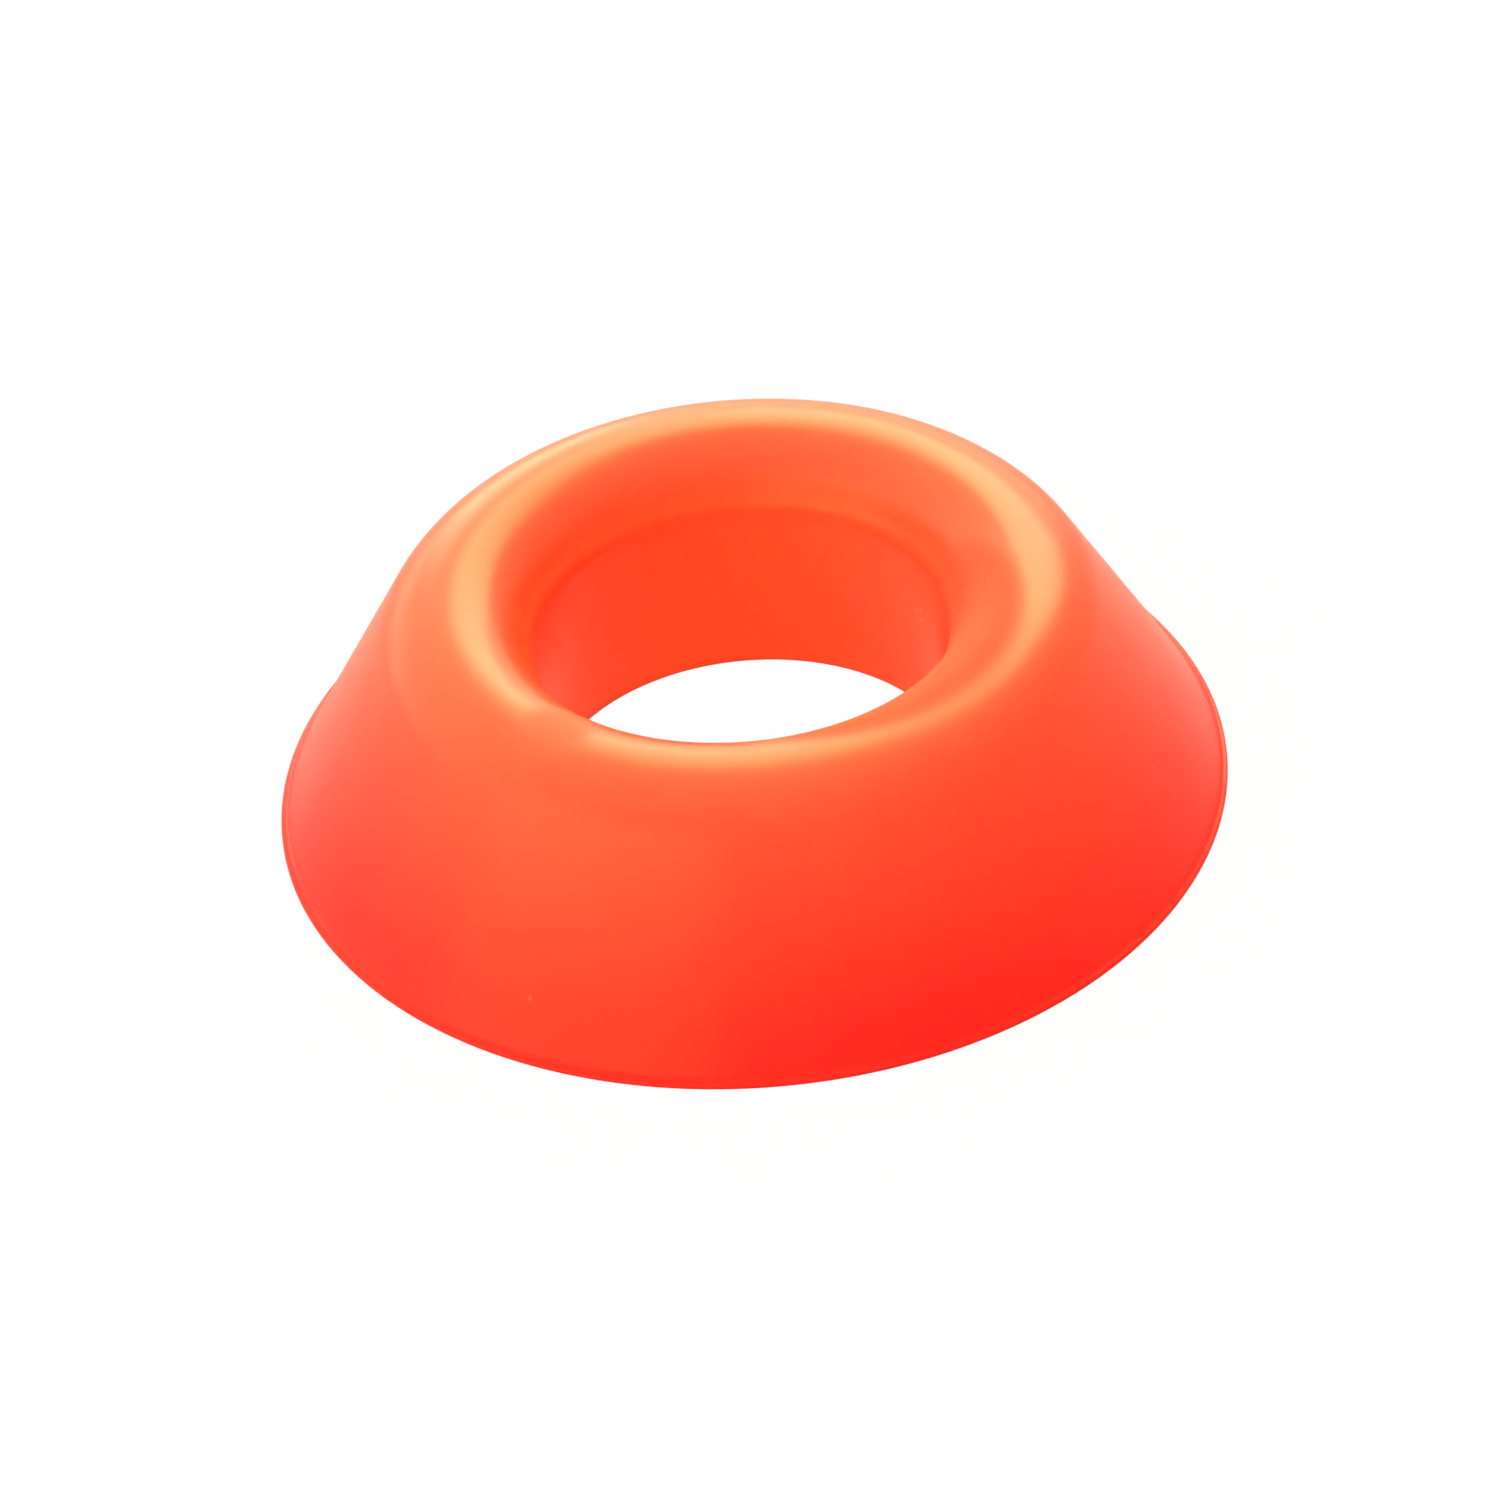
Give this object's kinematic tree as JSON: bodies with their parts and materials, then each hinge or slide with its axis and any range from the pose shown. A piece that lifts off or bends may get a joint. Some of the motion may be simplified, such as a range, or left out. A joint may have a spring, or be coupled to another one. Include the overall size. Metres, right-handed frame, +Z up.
{
  "type": "round-bottom flask stand",
  "caption": "Low conical ring of moulded silicone rubber with a full rounded rim and a through bore, which holds a round-bottom flask upright on a bench.",
  "frame": {"origin": "centre of the flat base, on the surface that the ring stands on", "axes": "+Z up along the ring's axis, from the base towards the rim"},
  "size_m": [0.11, 0.11, 0.0295],
  "materials": {
    "silicone": "smooth satin orange-red silicone"
  },
  "bodies": {
    "root": {"flask_stand": "silicone"}
  },
  "joints": []
}
